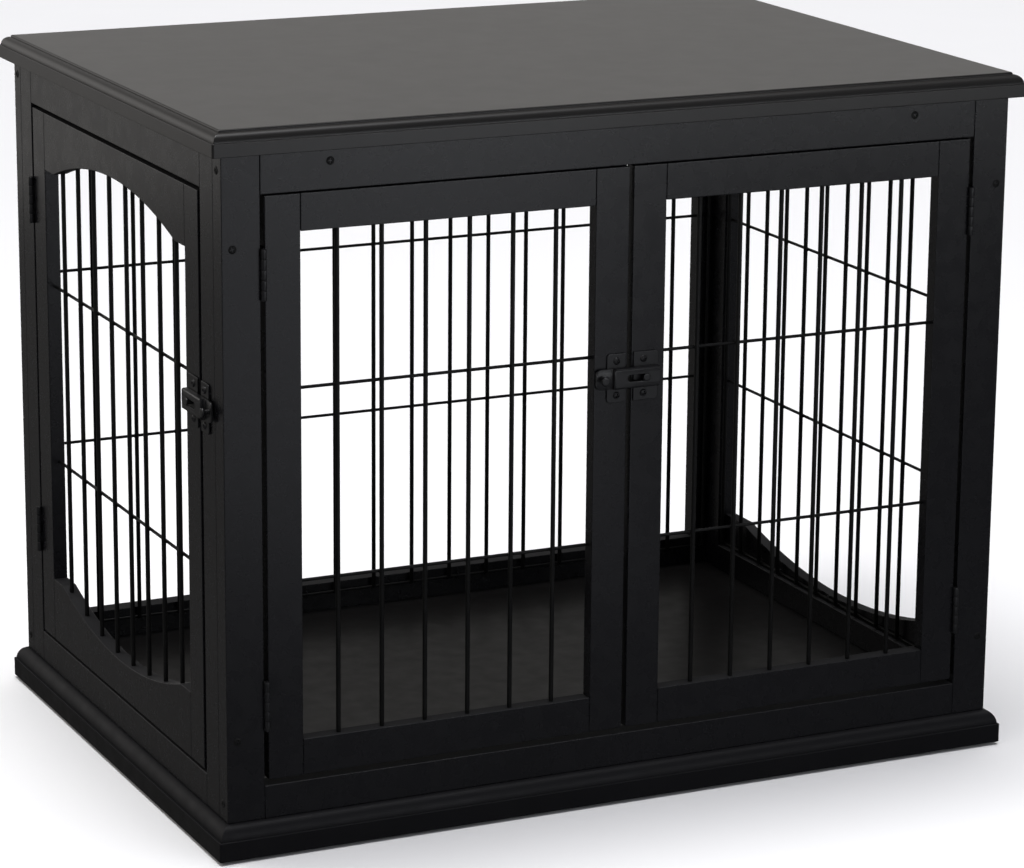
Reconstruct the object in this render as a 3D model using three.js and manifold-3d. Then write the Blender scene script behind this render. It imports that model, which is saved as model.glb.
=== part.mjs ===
// Dog crate end table: a painted cabinet of framed boards and welded wire grilles, with a pair of
// front doors, an arched side door, two slide latches and a moulded top and base.
// Millimetres, +Z up. The origin is on the floor under the middle of the table; the front faces -Y.
import * as THREE from 'three';
import { mergeVertices } from 'three/addons/utils/BufferGeometryUtils.js';
import Module from 'manifold-3d';

const wasm = await Module();
wasm.setup();

// ---- driving dimensions ----

const tableWidth = 810;
const tableDepth = 585;
const tableHeight = 660;
const overhang = 12;            // how far the top and the base stand out past the frames
const fit = 0.3;                // gap left between pieces that touch
const hairline = 0.03;          // keeps a tool's outline from folding onto itself
const arris = 0.8;              // eased edge of every board

const footHeight = 2.7;
const footDiameter = 19;
const footFromEdge = 22;
const footEase = 1.1;           // eased lower edge

const base = { bottom: footHeight + fit, faceTop: 21, ledge: 1, top: 34, roundDepth: 10.8 };
const top = { bottom: 637.5, faceTop: 649.8, ledge: 1, roundTop: 658, roundDepth: 8.8 };
const mouldSteps = 6;

const floorThickness = 4.5;

const frontThickness = 20;
const backThickness = 18;
const sideThickness = 20;
const openingBottom = 65;       // upper edge of the bottom rails
const openingTop = 601;         // lower edge of the top rails
const frontStile = 35.5;
const backStile = 35;
const backOpeningBottom = 68;
const sideStile = 31;

const door = { thickness: 14, height: 528.5, stile: 33, rail: 33.5, hingeGap: 4.3, meetingGap: 5.5 };
const frontDoorBottom = 70.5;
const sideDoorBottom = 68;
const sideLatchGap = 6;
const sideDoorRails = { bottom: 62, top: 56 };
const doorArch = { land: 26, rise: 27 };
const fixedArch = { land: 40, rise: 27, landHeight: 34, thickness: 12 };

const upright = 4.3;            // wire diameters
const crossWire = 3;
const crossHeights = [249, 425];
const weld = 0.3;               // how far a cross wire bites into an upright
const sunk = 8;                 // length of wire let into a door's stiles and rails
const socketPlay = 0.4;
const doorWireDepth = 6;        // upright's axis behind the door's face
const wireSides = 8;
const frontWires = { count: 6, pitch: 42.3 };
const sideWires = { count: 8, pitch: 44.3 };
const fixedWires = { count: 12, pitch: 41, rimInset: 3 };
const backWires = { count: 18, pitch: 43.3, rimOverlap: 10 };

const hinge = {
  height: 46, barrelRadius: 2.6, barrelProud: 2.4, leafThickness: 1.3, leafDepth: 14,
  pinRadius: 1.2, boreRadius: 1.5, pinShort: 1, knuckles: 5, knucklePlay: 0.3, notchPlay: 0.5,
};
const frontHingeHeights = { lower: 140, upper: 531 };
const sideHingeHeights = { lower: 173, upper: 506 };

// Latch sizes run from the middle of the gap it closes: along the wall, and out from the face.
const latch = {
  plateHeight: 45.5, plateUnder: fit, plateOver: 1.8, plateCorner: 3.5, plateGapCorner: 1.6, plateEase: 0.3,
  keeper: [-23.1, -4.4], doorPlate: [3.7, 28.6],
  barWidth: 19, barMetal: 1.6, barUnder: 2.2, barOver: 8, barEase: 0.2, barBend: 2, endBend: 1,
  tabEnd: -35, step: -18.5, barEnd: 27.3, tabCorner: 5, barCorner: 1.5,
  slot: [-5.1, 17.6], slotHalf: 3.1,
  pin: 13.9, pinNeck: 2.6, pinHead: 3.7, pinTop: 9.6, pinEase: 0.6,
  knob: -28.2, knobNeck: 2.4, knobHead: 4.3, knobTop: 11.2, knobHeadDepth: 3, knobFlare: 1, knobEase: 1.1,
};
const frontLatchHeight = 406;
const sideLatchHeight = 407;

// ---- worked out from the driving dimensions ----

const bodyWidth = tableWidth - 2 * overhang;
const bodyDepth = tableDepth - 2 * overhang;
const frameBottom = base.top + fit;
const frameTop = top.bottom - fit;
const sideFront = bodyDepth / 2 - frontThickness;          // reach of the side walls to the front
const sideBack = bodyDepth / 2 - backThickness;            // and to the back
const archSteps = 14;
const roundSteps = 3;
const cutPast = 4;                                         // how far a cutter runs on past its piece

// ---- finishes ----

const satinPaint = () => new THREE.MeshStandardMaterial({ color: 0x26262a, roughness: 0.42, metalness: 0 });
const topPaint = () => new THREE.MeshStandardMaterial({ color: 0x2e2c2b, roughness: 0.34, metalness: 0 });
const floorFilm = () => new THREE.MeshStandardMaterial({ color: 0x2b2928, roughness: 0.4, metalness: 0 });
const coatedWire = () => new THREE.MeshStandardMaterial({ color: 0x141413, roughness: 0.45, metalness: 0.2 });
const blackSteel = () => new THREE.MeshStandardMaterial({ color: 0x17171a, roughness: 0.38, metalness: 0.5 });
const footPlastic = () => new THREE.MeshStandardMaterial({ color: 0x1b1b1b, roughness: 0.6, metalness: 0 });

// ---- solids ----

function toSolid(geometry) {
  const bare = geometry.clone();
  bare.deleteAttribute('normal');
  bare.deleteAttribute('uv');
  const merged = mergeVertices(bare, 1e-4);
  const corners = Array.from(merged.index.array);
  const triangles = [];
  for (let i = 0; i < corners.length; i += 3) {
    const [a, b, c] = corners.slice(i, i + 3);
    if (a !== b && b !== c && c !== a) triangles.push(a, b, c);
  }
  return new wasm.Manifold(new wasm.Mesh({
    numProp: 3,
    vertProperties: new Float32Array(merged.attributes.position.array),
    triVerts: new Uint32Array(triangles),
  }));
}

function toGeometry(solid) {
  const mesh = solid.getMesh();
  const indexed = new THREE.BufferGeometry();
  indexed.setAttribute('position', new THREE.BufferAttribute(mesh.vertProperties, 3));
  indexed.setIndex(new THREE.BufferAttribute(mesh.triVerts, 1));
  const geometry = indexed.toNonIndexed();
  geometry.computeVertexNormals();
  return geometry;
}

const joined = (geometries) => wasm.Manifold.union(geometries.map(toSolid));

function cut(geometry, tools) {
  return tools.length ? toGeometry(toSolid(geometry).subtract(joined(tools))) : geometry;
}

// A rectangle of the wall plane, across by height.
function rectangle(left, right, bottom, topEdge) {
  const shape = new THREE.Shape();
  shape.moveTo(left, bottom);
  shape.lineTo(right, bottom);
  shape.lineTo(right, topEdge);
  shape.lineTo(left, topEdge);
  shape.closePath();
  return shape;
}

// A rectangle whose corners are rounded, each by its own radius from bottom left round to top left.
function roundedRectangle(left, right, bottom, topEdge, radii) {
  const [r0, r1, r2, r3] = radii;
  const shape = new THREE.Shape();
  shape.moveTo(left + r0, bottom);
  shape.absarc(right - r1, bottom + r1, r1, -Math.PI / 2, 0, false);
  shape.absarc(right - r2, topEdge - r2, r2, 0, Math.PI / 2, false);
  shape.absarc(left + r3, topEdge - r3, r3, Math.PI / 2, Math.PI, false);
  shape.absarc(left + r0, bottom + r0, r0, Math.PI, 1.5 * Math.PI, false);
  return shape;
}

// Walls are drawn seen from outside: x across, z up, and y the depth behind the wall's face.
// A panel is an outline of that view with both of its faces' edges eased.
function panel(outline, outerDepth, innerDepth, ease = arris) {
  const geometry = new THREE.ExtrudeGeometry(outline, {
    depth: innerDepth - outerDepth - 2 * ease, steps: 1, curveSegments: roundSteps,
    bevelEnabled: true, bevelThickness: ease, bevelSize: ease, bevelOffset: -ease, bevelSegments: 1,
  });
  geometry.rotateX(Math.PI / 2);
  geometry.translate(0, innerDepth - ease, 0);
  return geometry;
}

function block(x0, x1, y0, y1, z0, z1) {
  const geometry = new THREE.BoxGeometry(Math.abs(x1 - x0), y1 - y0, z1 - z0);
  geometry.translate((x0 + x1) / 2, (y0 + y1) / 2, (z0 + z1) / 2);
  return geometry;
}

function rod(diameter, start, end, sides = wireSides) {
  const along = new THREE.Vector3().subVectors(end, start);
  const geometry = new THREE.CylinderGeometry(diameter / 2, diameter / 2, along.length(), sides);
  const turn = new THREE.Quaternion().setFromUnitVectors(new THREE.Vector3(0, 1, 0), along.clone().normalize());
  geometry.applyQuaternion(turn);
  geometry.translate((start.x + end.x) / 2, (start.y + end.y) / 2, (start.z + end.z) / 2);
  return geometry;
}

const uprightRod = (diameter, x, y, z0, z1, sides) =>
  rod(diameter, new THREE.Vector3(x, y, z0), new THREE.Vector3(x, y, z1), sides);
const crossRod = (diameter, z, y, x0, x1) =>
  rod(diameter, new THREE.Vector3(x0, y, z), new THREE.Vector3(x1, y, z));

// A round stud out of the wall's face: radii at distances out from it.
function stud(x, z, profile) {
  const points = profile.map(([radius, out]) => new THREE.Vector2(radius, out));
  const geometry = new THREE.LatheGeometry(points, 14);
  geometry.rotateX(Math.PI);
  geometry.translate(x, 0, z);
  return geometry;
}

// Adds a piece to a group, with its geometry measured from that group's own origin.
function place(group, name, geometry, material) {
  geometry.translate(-group.position.x, -group.position.y, -group.position.z);
  const mesh = new THREE.Mesh(geometry, material);
  mesh.name = name;
  group.add(mesh);
}

// ---- arches ----

// An arch across an opening: flat lands at both ends and one circular arc between them.
// swell gives how far the arc stands back from the lands at a place across the opening.
function archOver(left, right, { land, rise }) {
  const centre = (left + right) / 2;
  const halfChord = (right - left) / 2 - land;
  const radius = (halfChord ** 2 + rise ** 2) / (2 * rise);
  const swell = (x) => {
    const away = Math.abs(x - centre);
    return away < halfChord ? Math.sqrt(radius ** 2 - away ** 2) - (radius - rise) : 0;
  };
  return { centre, halfChord, radius, rise, swell };
}

// A rail from its straight edge to its lands, with the arch cut into it. up is 1 for a bottom rail.
function archedOutline(left, right, straightEdge, landEdge, arch, up) {
  const spread = Math.asin(arch.halfChord / arch.radius);
  const arcHeight = landEdge + up * (arch.radius - arch.rise);
  const shape = new THREE.Shape();
  shape.moveTo(left, straightEdge);
  shape.lineTo(right, straightEdge);
  shape.lineTo(right, landEdge);
  const start = up * (spread - Math.PI / 2);
  shape.absarc(arch.centre, arcHeight, arch.radius, start, start - up * 2 * spread, up > 0);
  shape.lineTo(left, landEdge);
  shape.closePath();
  return shape;
}

const archedPanel = (outline, outerDepth, innerDepth) =>
  panel(new THREE.Shape(outline.getPoints(archSteps)), outerDepth, innerDepth);

// ---- wire ----

// Wires at an even pitch about a centre line.
const spacedAbout = (centre, { count, pitch }) =>
  Array.from({ length: count }, (_, i) => centre + (i - (count - 1) / 2) * pitch);

function weldedGrille(uprights, crosses) {
  const rods = uprights.map(({ x, y, z0, z1 }) => uprightRod(upright, x, y, z0, z1));
  crosses.forEach(({ z, y, x0, x1 }) => rods.push(crossRod(crossWire, z, y, x0, x1)));
  return toGeometry(joined(rods));
}

// ---- frames ----

// Four boards round an opening: full-height stiles with the rails between them.
function buildFrame(group, names, size) {
  const { left, right, stile, thickness, lowerEdge, upperEdge } = size;
  const railLeft = left + stile + fit;
  const railRight = right - stile - fit;
  const boards = [
    [names.left, rectangle(left, left + stile, frameBottom, frameTop)],
    [names.right, rectangle(right - stile, right, frameBottom, frameTop)],
    [names.top, rectangle(railLeft, railRight, upperEdge, frameTop)],
    [names.bottom, rectangle(railLeft, railRight, frameBottom, lowerEdge)],
  ];
  boards.forEach(([name, outline]) => place(group, name, panel(outline, 0, thickness), satinPaint()));
}

// The closed side: the same stiles, and rails that carry a thinner arched board above their ledge.
function buildArchedFrame(group, names, size) {
  const { left, right, stile, thickness, lowerEdge, upperEdge } = size;
  const openLeft = left + stile;
  const openRight = right - stile;
  const arch = archOver(openLeft, openRight, fixedArch);
  const railLeft = openLeft + fit;
  const railRight = openRight - fit;
  const stiles = [
    [names.left, rectangle(left, openLeft, frameBottom, frameTop)],
    [names.right, rectangle(openRight, right, frameBottom, frameTop)],
  ];
  stiles.forEach(([name, outline]) => place(group, name, panel(outline, 0, thickness), satinPaint()));
  const rails = [
    [names.bottom, frameBottom, lowerEdge, 1],
    [names.top, frameTop, upperEdge, -1],
  ];
  rails.forEach(([name, straightEdge, innerEdge, up]) => {
    const frameEdges = [straightEdge, innerEdge].sort((a, b) => a - b);
    const thick = panel(rectangle(railLeft, railRight, ...frameEdges), 0, thickness);
    const landEdge = innerEdge + up * fixedArch.landHeight;
    const outline = archedOutline(railLeft, railRight, straightEdge, landEdge, arch, up);
    const thin = archedPanel(outline, 0, fixedArch.thickness);
    place(group, name, toGeometry(joined([thick, thin])), satinPaint());
  });
}

// ---- doors ----

// A door is two stiles and two rails with a grille let into blind sockets in all four.
function buildDoor(group, name, size) {
  const { left, right, bottom, bottomRail, topRail, wires, shape } = size;
  const doorTop = bottom + door.height;
  const openLeft = left + door.stile;
  const openRight = right - door.stile;
  const openBottom = bottom + bottomRail;
  const openTop = doorTop - topRail;
  const arch = shape ? archOver(openLeft, openRight, shape) : null;
  const swell = (x) => (arch ? arch.swell(x) : 0);
  const crossDepth = doorWireDepth + (upright + crossWire) / 2 - weld;
  const across = spacedAbout((openLeft + openRight) / 2, wires);

  const uprights = across.map((x) => ({
    x, y: doorWireDepth, z0: openBottom - swell(x) - sunk, z1: openTop + swell(x) + sunk,
  }));
  const crosses = crossHeights.map((z) => ({ z, y: crossDepth, x0: openLeft - sunk, x1: openRight + sunk }));
  place(group, `${name}_grille`, weldedGrille(uprights, crosses), coatedWire());

  const uprightSockets = (z0, z1) =>
    across.map((x) => uprightRod(upright + 2 * socketPlay, x, doorWireDepth, z0(x), z1(x)));
  const crossSockets = (x0, x1) =>
    crossHeights.map((z) => crossRod(crossWire + 2 * socketPlay, z, crossDepth, x0, x1));
  const deep = sunk + socketPlay;

  const stiles = [
    ['left_stile', left, openLeft, crossSockets(openLeft - deep, openLeft + cutPast)],
    ['right_stile', openRight, right, crossSockets(openRight - cutPast, openRight + deep)],
  ];
  stiles.forEach(([part, x0, x1, sockets]) => {
    const board = panel(rectangle(x0, x1, bottom, doorTop), 0, door.thickness);
    place(group, `${name}_${part}`, cut(board, sockets), satinPaint());
  });

  const railLeft = openLeft + fit;
  const railRight = openRight - fit;
  const lowSockets = uprightSockets((x) => openBottom - swell(x) - deep, () => openBottom + cutPast);
  const highSockets = uprightSockets(() => openTop - cutPast, (x) => openTop + swell(x) + deep);
  const rails = [
    ['bottom_rail', bottom, openBottom, 1, lowSockets],
    ['top_rail', doorTop, openTop, -1, highSockets],
  ];
  rails.forEach(([part, straightEdge, landEdge, up, sockets]) => {
    const edges = [straightEdge, landEdge].sort((a, b) => a - b);
    const board = arch
      ? archedPanel(archedOutline(railLeft, railRight, straightEdge, landEdge, arch, up), 0, door.thickness)
      : panel(rectangle(railLeft, railRight, ...edges), 0, door.thickness);
    place(group, `${name}_${part}`, cut(board, sockets), satinPaint());
  });
}

// ---- butt hinges ----

// A butt hinge stands in a door's gap with its barrel proud of the face. side is 1 where the door
// lies towards +x of the gap. The pin is fast in the frame leaf's knuckles.
function buildHinge(wall, hangingDoor, name, gapCentre, side, height) {
  const low = height - hinge.height / 2;
  const high = height + hinge.height / 2;
  const knuckle = hinge.height / hinge.knuckles;
  const play = hinge.knucklePlay;
  const last = hinge.knuckles - 1;
  const leafOuter = door.hingeGap / 2 - fit;
  const leafInner = leafOuter - hinge.leafThickness;
  const notchDepth = hinge.barrelRadius - hinge.barrelProud + hinge.notchPlay;
  const reach = hinge.barrelRadius + hinge.notchPlay;

  const leaf = (sign, own) => {
    const faces = [gapCentre + sign * leafInner, gapCentre + sign * leafOuter];
    const parts = [block(...faces, -hinge.barrelProud, hinge.leafDepth, low, high)];
    const notches = [];
    for (let k = 0; k < hinge.knuckles; k += 1) {
      const from = low + k * knuckle;
      if (k % 2 === own) {
        const ends = [from + play / 2, from + knuckle - play / 2];
        parts.push(uprightRod(2 * hinge.barrelRadius, gapCentre, -hinge.barrelProud, ...ends, 12));
      } else {
        notches.push(block(
          gapCentre - reach, gapCentre + reach, -hinge.barrelProud - reach, notchDepth,
          from - (k === 0 ? play : play / 2), from + knuckle + (k === last ? play : play / 2),
        ));
      }
    }
    return { parts, notches };
  };

  const frameLeaf = leaf(-side, 0);
  const pinEnds = [low + hinge.pinShort, high - hinge.pinShort];
  const pin = uprightRod(2 * hinge.pinRadius, gapCentre, -hinge.barrelProud, ...pinEnds);
  const frameSolid = joined(frameLeaf.parts).subtract(joined(frameLeaf.notches)).add(toSolid(pin));
  place(wall, `${name}_frame_leaf`, toGeometry(frameSolid), blackSteel());

  const doorLeaf = leaf(side, 1);
  const bore = uprightRod(2 * hinge.boreRadius, gapCentre, -hinge.barrelProud, low - cutPast, high + cutPast);
  const doorSolid = joined(doorLeaf.parts).subtract(joined([...doorLeaf.notches, bore]));
  place(hangingDoor, `${name}_door_leaf`, toGeometry(doorSolid), blackSteel());
}

// ---- slide latches ----

// The bar slides on a headed pin and covers the gap. side is 1 where the pin's door lies towards +x.
function buildLatch(keeperGroup, doorGroup, name, gapCentre, side, height) {
  const across = (offsets) => offsets.map((offset) => gapCentre + side * offset).sort((a, b) => a - b);
  const half = latch.plateHeight / 2;
  const plate = ([from, to], roundLeft) => {
    const { plateCorner: wide, plateGapCorner: small } = latch;
    const radii = roundLeft ? [wide, small, small, wide] : [small, wide, wide, small];
    const [x0, x1] = across([from, to]);
    const outline = roundedRectangle(x0, x1, height - half, height + half, radii);
    return panel(outline, -latch.plateOver, -latch.plateUnder, latch.plateEase);
  };
  place(keeperGroup, `${name}_keeper`, plate(latch.keeper, side > 0), blackSteel());

  const neckFoot = (latch.plateUnder + latch.plateOver) / 2;
  const headUnder = latch.barOver + fit;
  const pin = stud(gapCentre + side * latch.pin, height, [
    [0, neckFoot], [latch.pinNeck, neckFoot], [latch.pinNeck, headUnder], [latch.pinHead, headUnder],
    [latch.pinHead, latch.pinTop - latch.pinEase],
    [latch.pinHead - latch.pinEase, latch.pinTop], [0, latch.pinTop],
  ]);
  place(doorGroup, `${name}_plate`, toGeometry(joined([plate(latch.doorPlate, side < 0), pin])), blackSteel());

  place(doorGroup, `${name}_bar`, toGeometry(latchBar(gapCentre, side, height)), blackSteel());
}

// The bar is a folded channel with a slot in its web, stepped down at one end to a tab with a knob.
function latchBar(gapCentre, side, height) {
  const at = (offset) => gapCentre + side * offset;
  const halfWidth = latch.barWidth / 2;
  const stepOver = latch.barUnder + latch.barMetal;
  const profile = new THREE.Shape();
  profile.moveTo(at(latch.tabEnd), latch.barUnder);
  profile.lineTo(at(latch.barEnd), latch.barUnder);
  profile.lineTo(at(latch.barEnd), latch.barOver - latch.endBend);
  profile.lineTo(at(latch.barEnd - latch.endBend), latch.barOver);
  profile.lineTo(at(latch.step + latch.endBend), latch.barOver);
  profile.lineTo(at(latch.step), latch.barOver - latch.endBend);
  profile.lineTo(at(latch.step), stepOver);
  profile.lineTo(at(latch.tabEnd), stepOver);
  const sideView = new THREE.ExtrudeGeometry(profile, { depth: latch.barWidth, bevelEnabled: false });
  sideView.scale(1, -1, -1);
  sideView.translate(0, 0, height + halfWidth);

  const ends = [at(latch.tabEnd), at(latch.barEnd)];
  const { tabCorner, barCorner } = latch;
  const radii = side > 0
    ? [tabCorner, barCorner, barCorner, tabCorner]
    : [barCorner, tabCorner, tabCorner, barCorner];
  const [left, right] = [Math.min(...ends), Math.max(...ends)];
  const plan = roundedRectangle(left, right, height - halfWidth, height + halfWidth, radii);
  const planView = panel(plan, -latch.barOver - cutPast, 0, latch.barEase);

  const corner = latch.barBend;
  const fold = new THREE.Shape();
  fold.moveTo(-halfWidth, 0);
  fold.lineTo(halfWidth, 0);
  fold.absarc(halfWidth - corner, latch.barOver - corner, corner, 0, Math.PI / 2, false);
  fold.absarc(corner - halfWidth, latch.barOver - corner, corner, Math.PI / 2, Math.PI, false);
  const long = latch.barEnd - latch.tabEnd + 2 * cutPast;
  const endView = new THREE.ExtrudeGeometry(fold, { depth: long, bevelEnabled: false, curveSegments: 2 });
  endView.rotateY(Math.PI / 2);
  endView.rotateX(Math.PI);
  endView.translate(left - cutPast, 0, height);

  const inside = halfWidth - latch.barMetal;
  const channel = block(
    at(latch.step + latch.barMetal), at(latch.barEnd + cutPast), latch.barMetal - latch.barOver, 0,
    height - inside, height + inside,
  );
  const [slotLeft, slotRight] = latch.slot.map(at).sort((a, b) => a - b);
  const r = latch.slotHalf;
  const slotRadii = Array(4).fill(r - hairline);
  const slotOutline = roundedRectangle(slotLeft, slotRight, height - r, height + r, slotRadii);
  const slot = panel(slotOutline, -latch.barOver - cutPast, -latch.barUnder, hairline);

  const { knobNeck, knobHead, knobTop, knobHeadDepth, knobFlare, knobEase } = latch;
  const knobFoot = latch.barUnder + latch.barMetal / 2;
  const knob = stud(at(latch.knob), height, [
    [0, knobFoot], [knobNeck, knobFoot], [knobNeck, knobTop - knobHeadDepth - knobFlare],
    [knobHead, knobTop - knobHeadDepth], [knobHead, knobTop - knobEase],
    [knobHead - knobEase, knobTop], [0, knobTop],
  ]);
  return toSolid(sideView).intersect(toSolid(planView)).intersect(toSolid(endView))
    .subtract(joined([channel, slot])).add(toSolid(knob));
}

// ---- top, base, floor and feet ----

// A board whose edge profile, a list of [inset, height], is carried round it and mitred at the corners.
function mouldedBoard(profile) {
  const positions = [];
  profile.forEach(([inset, z]) => {
    const x = tableWidth / 2 - inset;
    const y = tableDepth / 2 - inset;
    positions.push(-x, -y, z, x, -y, z, x, y, z, -x, y, z);
  });
  const last = 4 * (profile.length - 1);
  const triangles = [0, 2, 1, 0, 3, 2, last, last + 1, last + 2, last, last + 2, last + 3];
  for (let ring = 0; ring < profile.length - 1; ring += 1) {
    for (let corner = 0; corner < 4; corner += 1) {
      const a = 4 * ring + corner;
      const b = 4 * ring + ((corner + 1) % 4);
      triangles.push(a, b, b + 4, a, b + 4, a + 4);
    }
  }
  const indexed = new THREE.BufferGeometry();
  indexed.setAttribute('position', new THREE.Float32BufferAttribute(positions, 3));
  indexed.setIndex(triangles);
  const geometry = indexed.toNonIndexed();
  geometry.computeVertexNormals();
  return geometry;
}

// A quarter of an ellipse that swells out of a ledge and ends level, as an ovolo moulding does.
function ovolo(ledge, from, depth, rise) {
  return Array.from({ length: mouldSteps + 1 }, (_, i) => {
    const angle = (i / mouldSteps) * Math.PI / 2;
    return [ledge + depth * (1 - Math.cos(angle)), from + rise * Math.sin(angle)];
  });
}

function buildBaseAndTop(table) {
  const baseProfile = [
    [0, base.bottom], [0, base.faceTop],
    ...ovolo(base.ledge, base.faceTop, base.roundDepth, base.top - base.faceTop),
  ];
  place(table, 'base_plinth', mouldedBoard(baseProfile), satinPaint());

  const topProfile = [
    [0, top.bottom], [0, top.faceTop],
    ...ovolo(top.ledge, top.faceTop, top.roundDepth, top.roundTop - top.faceTop),
    [top.ledge + top.roundDepth, tableHeight],
  ];
  place(table, 'table_top', mouldedBoard(topProfile), topPaint());

  const floorHalf = bodyWidth / 2 - sideThickness - fit;
  const floorPanel = new THREE.BoxGeometry(2 * floorHalf, sideFront + sideBack - 2 * fit, floorThickness);
  floorPanel.translate(0, (sideBack - sideFront) / 2, frameBottom + floorThickness / 2);
  place(table, 'floor_panel', floorPanel, floorFilm());
}

function buildFeet(table) {
  const r = footDiameter / 2;
  const profile = [[0, 0], [r - footEase, 0], [r, footEase], [r, footHeight], [0, footHeight]];
  const corners = [['front', -1], ['back', 1]].flatMap(([end, y]) => [['left', -1], ['right', 1]]
    .map(([hand, x]) => [`foot_${end}_${hand}`, x, y]));
  corners.forEach(([name, x, y]) => {
    const foot = new THREE.LatheGeometry(profile.map(([radius, z]) => new THREE.Vector2(radius, z)), 16);
    foot.rotateX(Math.PI / 2);
    foot.translate(x * (tableWidth / 2 - footFromEdge), y * (tableDepth / 2 - footFromEdge), 0);
    place(table, name, foot, footPlastic());
  });
}

// ---- the four walls ----

// A wall's group stands its outside view on its own side of the body.
function wallGroup(table, x, y, turn) {
  const wall = new THREE.Group();
  wall.rotation.z = turn;
  const holder = new THREE.Group();
  holder.position.set(x, y, 0);
  holder.add(wall);
  table.add(holder);
  return wall;
}

// A door's group has its origin on the hinge axis, so turning it swings the door.
function doorGroup(wall, gapCentre) {
  const hanging = new THREE.Group();
  hanging.position.set(gapCentre, -hinge.barrelProud, 0);
  wall.add(hanging);
  return hanging;
}

function buildFront(table) {
  const wall = wallGroup(table, 0, -bodyDepth / 2, 0);
  buildFrame(wall, {
    left: 'front_frame_left_stile', right: 'front_frame_right_stile',
    top: 'front_frame_top_rail', bottom: 'front_frame_bottom_rail',
  }, {
    left: -bodyWidth / 2, right: bodyWidth / 2, stile: frontStile, thickness: frontThickness,
    lowerEdge: openingBottom, upperEdge: openingTop,
  });

  const openHalf = bodyWidth / 2 - frontStile;
  const hinged = openHalf - door.hingeGap;
  const meeting = door.meetingGap / 2;
  const gapCentre = openHalf - door.hingeGap / 2;
  const shared = { bottom: frontDoorBottom, bottomRail: door.rail, topRail: door.rail, wires: frontWires };
  const leftDoor = doorGroup(wall, -gapCentre);
  buildDoor(leftDoor, 'left_door', { left: -hinged, right: -meeting, ...shared });
  const rightDoor = doorGroup(wall, gapCentre);
  buildDoor(rightDoor, 'right_door', { left: meeting, right: hinged, ...shared });

  Object.entries(frontHingeHeights).forEach(([level, height]) => {
    buildHinge(wall, leftDoor, `left_door_${level}_hinge`, -gapCentre, 1, height);
    buildHinge(wall, rightDoor, `right_door_${level}_hinge`, gapCentre, -1, height);
  });
  buildLatch(leftDoor, rightDoor, 'front_latch', 0, 1, frontLatchHeight);
}

function buildLeftSide(table) {
  const wall = wallGroup(table, -bodyWidth / 2, 0, -Math.PI / 2);
  const left = fit - sideBack;
  const right = sideFront - fit;
  buildFrame(wall, {
    left: 'left_side_back_stile', right: 'left_side_front_stile',
    top: 'left_side_top_rail', bottom: 'left_side_bottom_rail',
  }, {
    left, right, stile: sideStile, thickness: sideThickness, lowerEdge: openingBottom, upperEdge: openingTop,
  });

  const hingeEdge = left + sideStile;
  const latchEdge = right - sideStile;
  const gapCentre = hingeEdge + door.hingeGap / 2;
  const sideDoor = doorGroup(wall, gapCentre);
  buildDoor(sideDoor, 'side_door', {
    left: hingeEdge + door.hingeGap, right: latchEdge - sideLatchGap, bottom: sideDoorBottom,
    bottomRail: sideDoorRails.bottom, topRail: sideDoorRails.top, wires: sideWires, shape: doorArch,
  });
  Object.entries(sideHingeHeights).forEach(([level, height]) => {
    buildHinge(wall, sideDoor, `side_door_${level}_hinge`, gapCentre, 1, height);
  });
  buildLatch(wall, sideDoor, 'side_latch', latchEdge - sideLatchGap / 2, -1, sideLatchHeight);
}

function buildRightSide(table) {
  const wall = wallGroup(table, bodyWidth / 2, 0, Math.PI / 2);
  const left = fit - sideFront;
  const right = sideBack - fit;
  buildArchedFrame(wall, {
    left: 'right_side_front_stile', right: 'right_side_back_stile',
    top: 'right_side_arched_top_rail', bottom: 'right_side_arched_bottom_rail',
  }, {
    left, right, stile: sideStile, thickness: sideThickness, lowerEdge: openingBottom, upperEdge: openingTop,
  });

  const centre = (left + right) / 2;
  const crossDepth = fixedArch.thickness + fit + crossWire / 2;
  const uprightDepth = crossDepth + (upright + crossWire) / 2 - weld;
  const across = spacedAbout(centre, fixedWires);
  const low = openingBottom + fixedWires.rimInset;
  const high = openingTop - fixedWires.rimInset;
  const uprights = across.map((x) => ({ x, y: uprightDepth, z0: low - 1, z1: high + 1 }));
  const crosses = [low, ...crossHeights, high].map((z) => ({
    z, y: crossDepth, x0: across[0] - 2, x1: across[across.length - 1] + 2,
  }));
  place(wall, 'right_side_grille', weldedGrille(uprights, crosses), coatedWire());
}

function buildBack(table) {
  const wall = wallGroup(table, 0, bodyDepth / 2, Math.PI);
  buildFrame(wall, {
    left: 'back_frame_right_stile', right: 'back_frame_left_stile',
    top: 'back_frame_top_rail', bottom: 'back_frame_bottom_rail',
  }, {
    left: -bodyWidth / 2, right: bodyWidth / 2, stile: backStile, thickness: backThickness,
    lowerEdge: backOpeningBottom, upperEdge: openingTop,
  });

  const crossDepth = backThickness + fit + crossWire / 2;
  const uprightDepth = crossDepth + (upright + crossWire) / 2 - weld;
  const across = spacedAbout(0, backWires);
  const low = backOpeningBottom - backWires.rimOverlap;
  const high = openingTop + backWires.rimOverlap;
  const uprights = across.map((x) => ({ x, y: uprightDepth, z0: low - 1, z1: high + 1 }));
  const crosses = [low, ...crossHeights, high].map((z) => ({
    z, y: crossDepth, x0: across[0] - 2, x1: across[across.length - 1] + 2,
  }));
  place(wall, 'back_grille', weldedGrille(uprights, crosses), coatedWire());
}

const group = new THREE.Group();
buildBaseAndTop(group);
buildFeet(group);
buildFront(group);
buildLeftSide(group);
buildRightSide(group);
buildBack(group);

export default group;
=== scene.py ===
import math

import bmesh
import bpy
import numpy as np
from mathutils import Euler, Matrix


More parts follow.
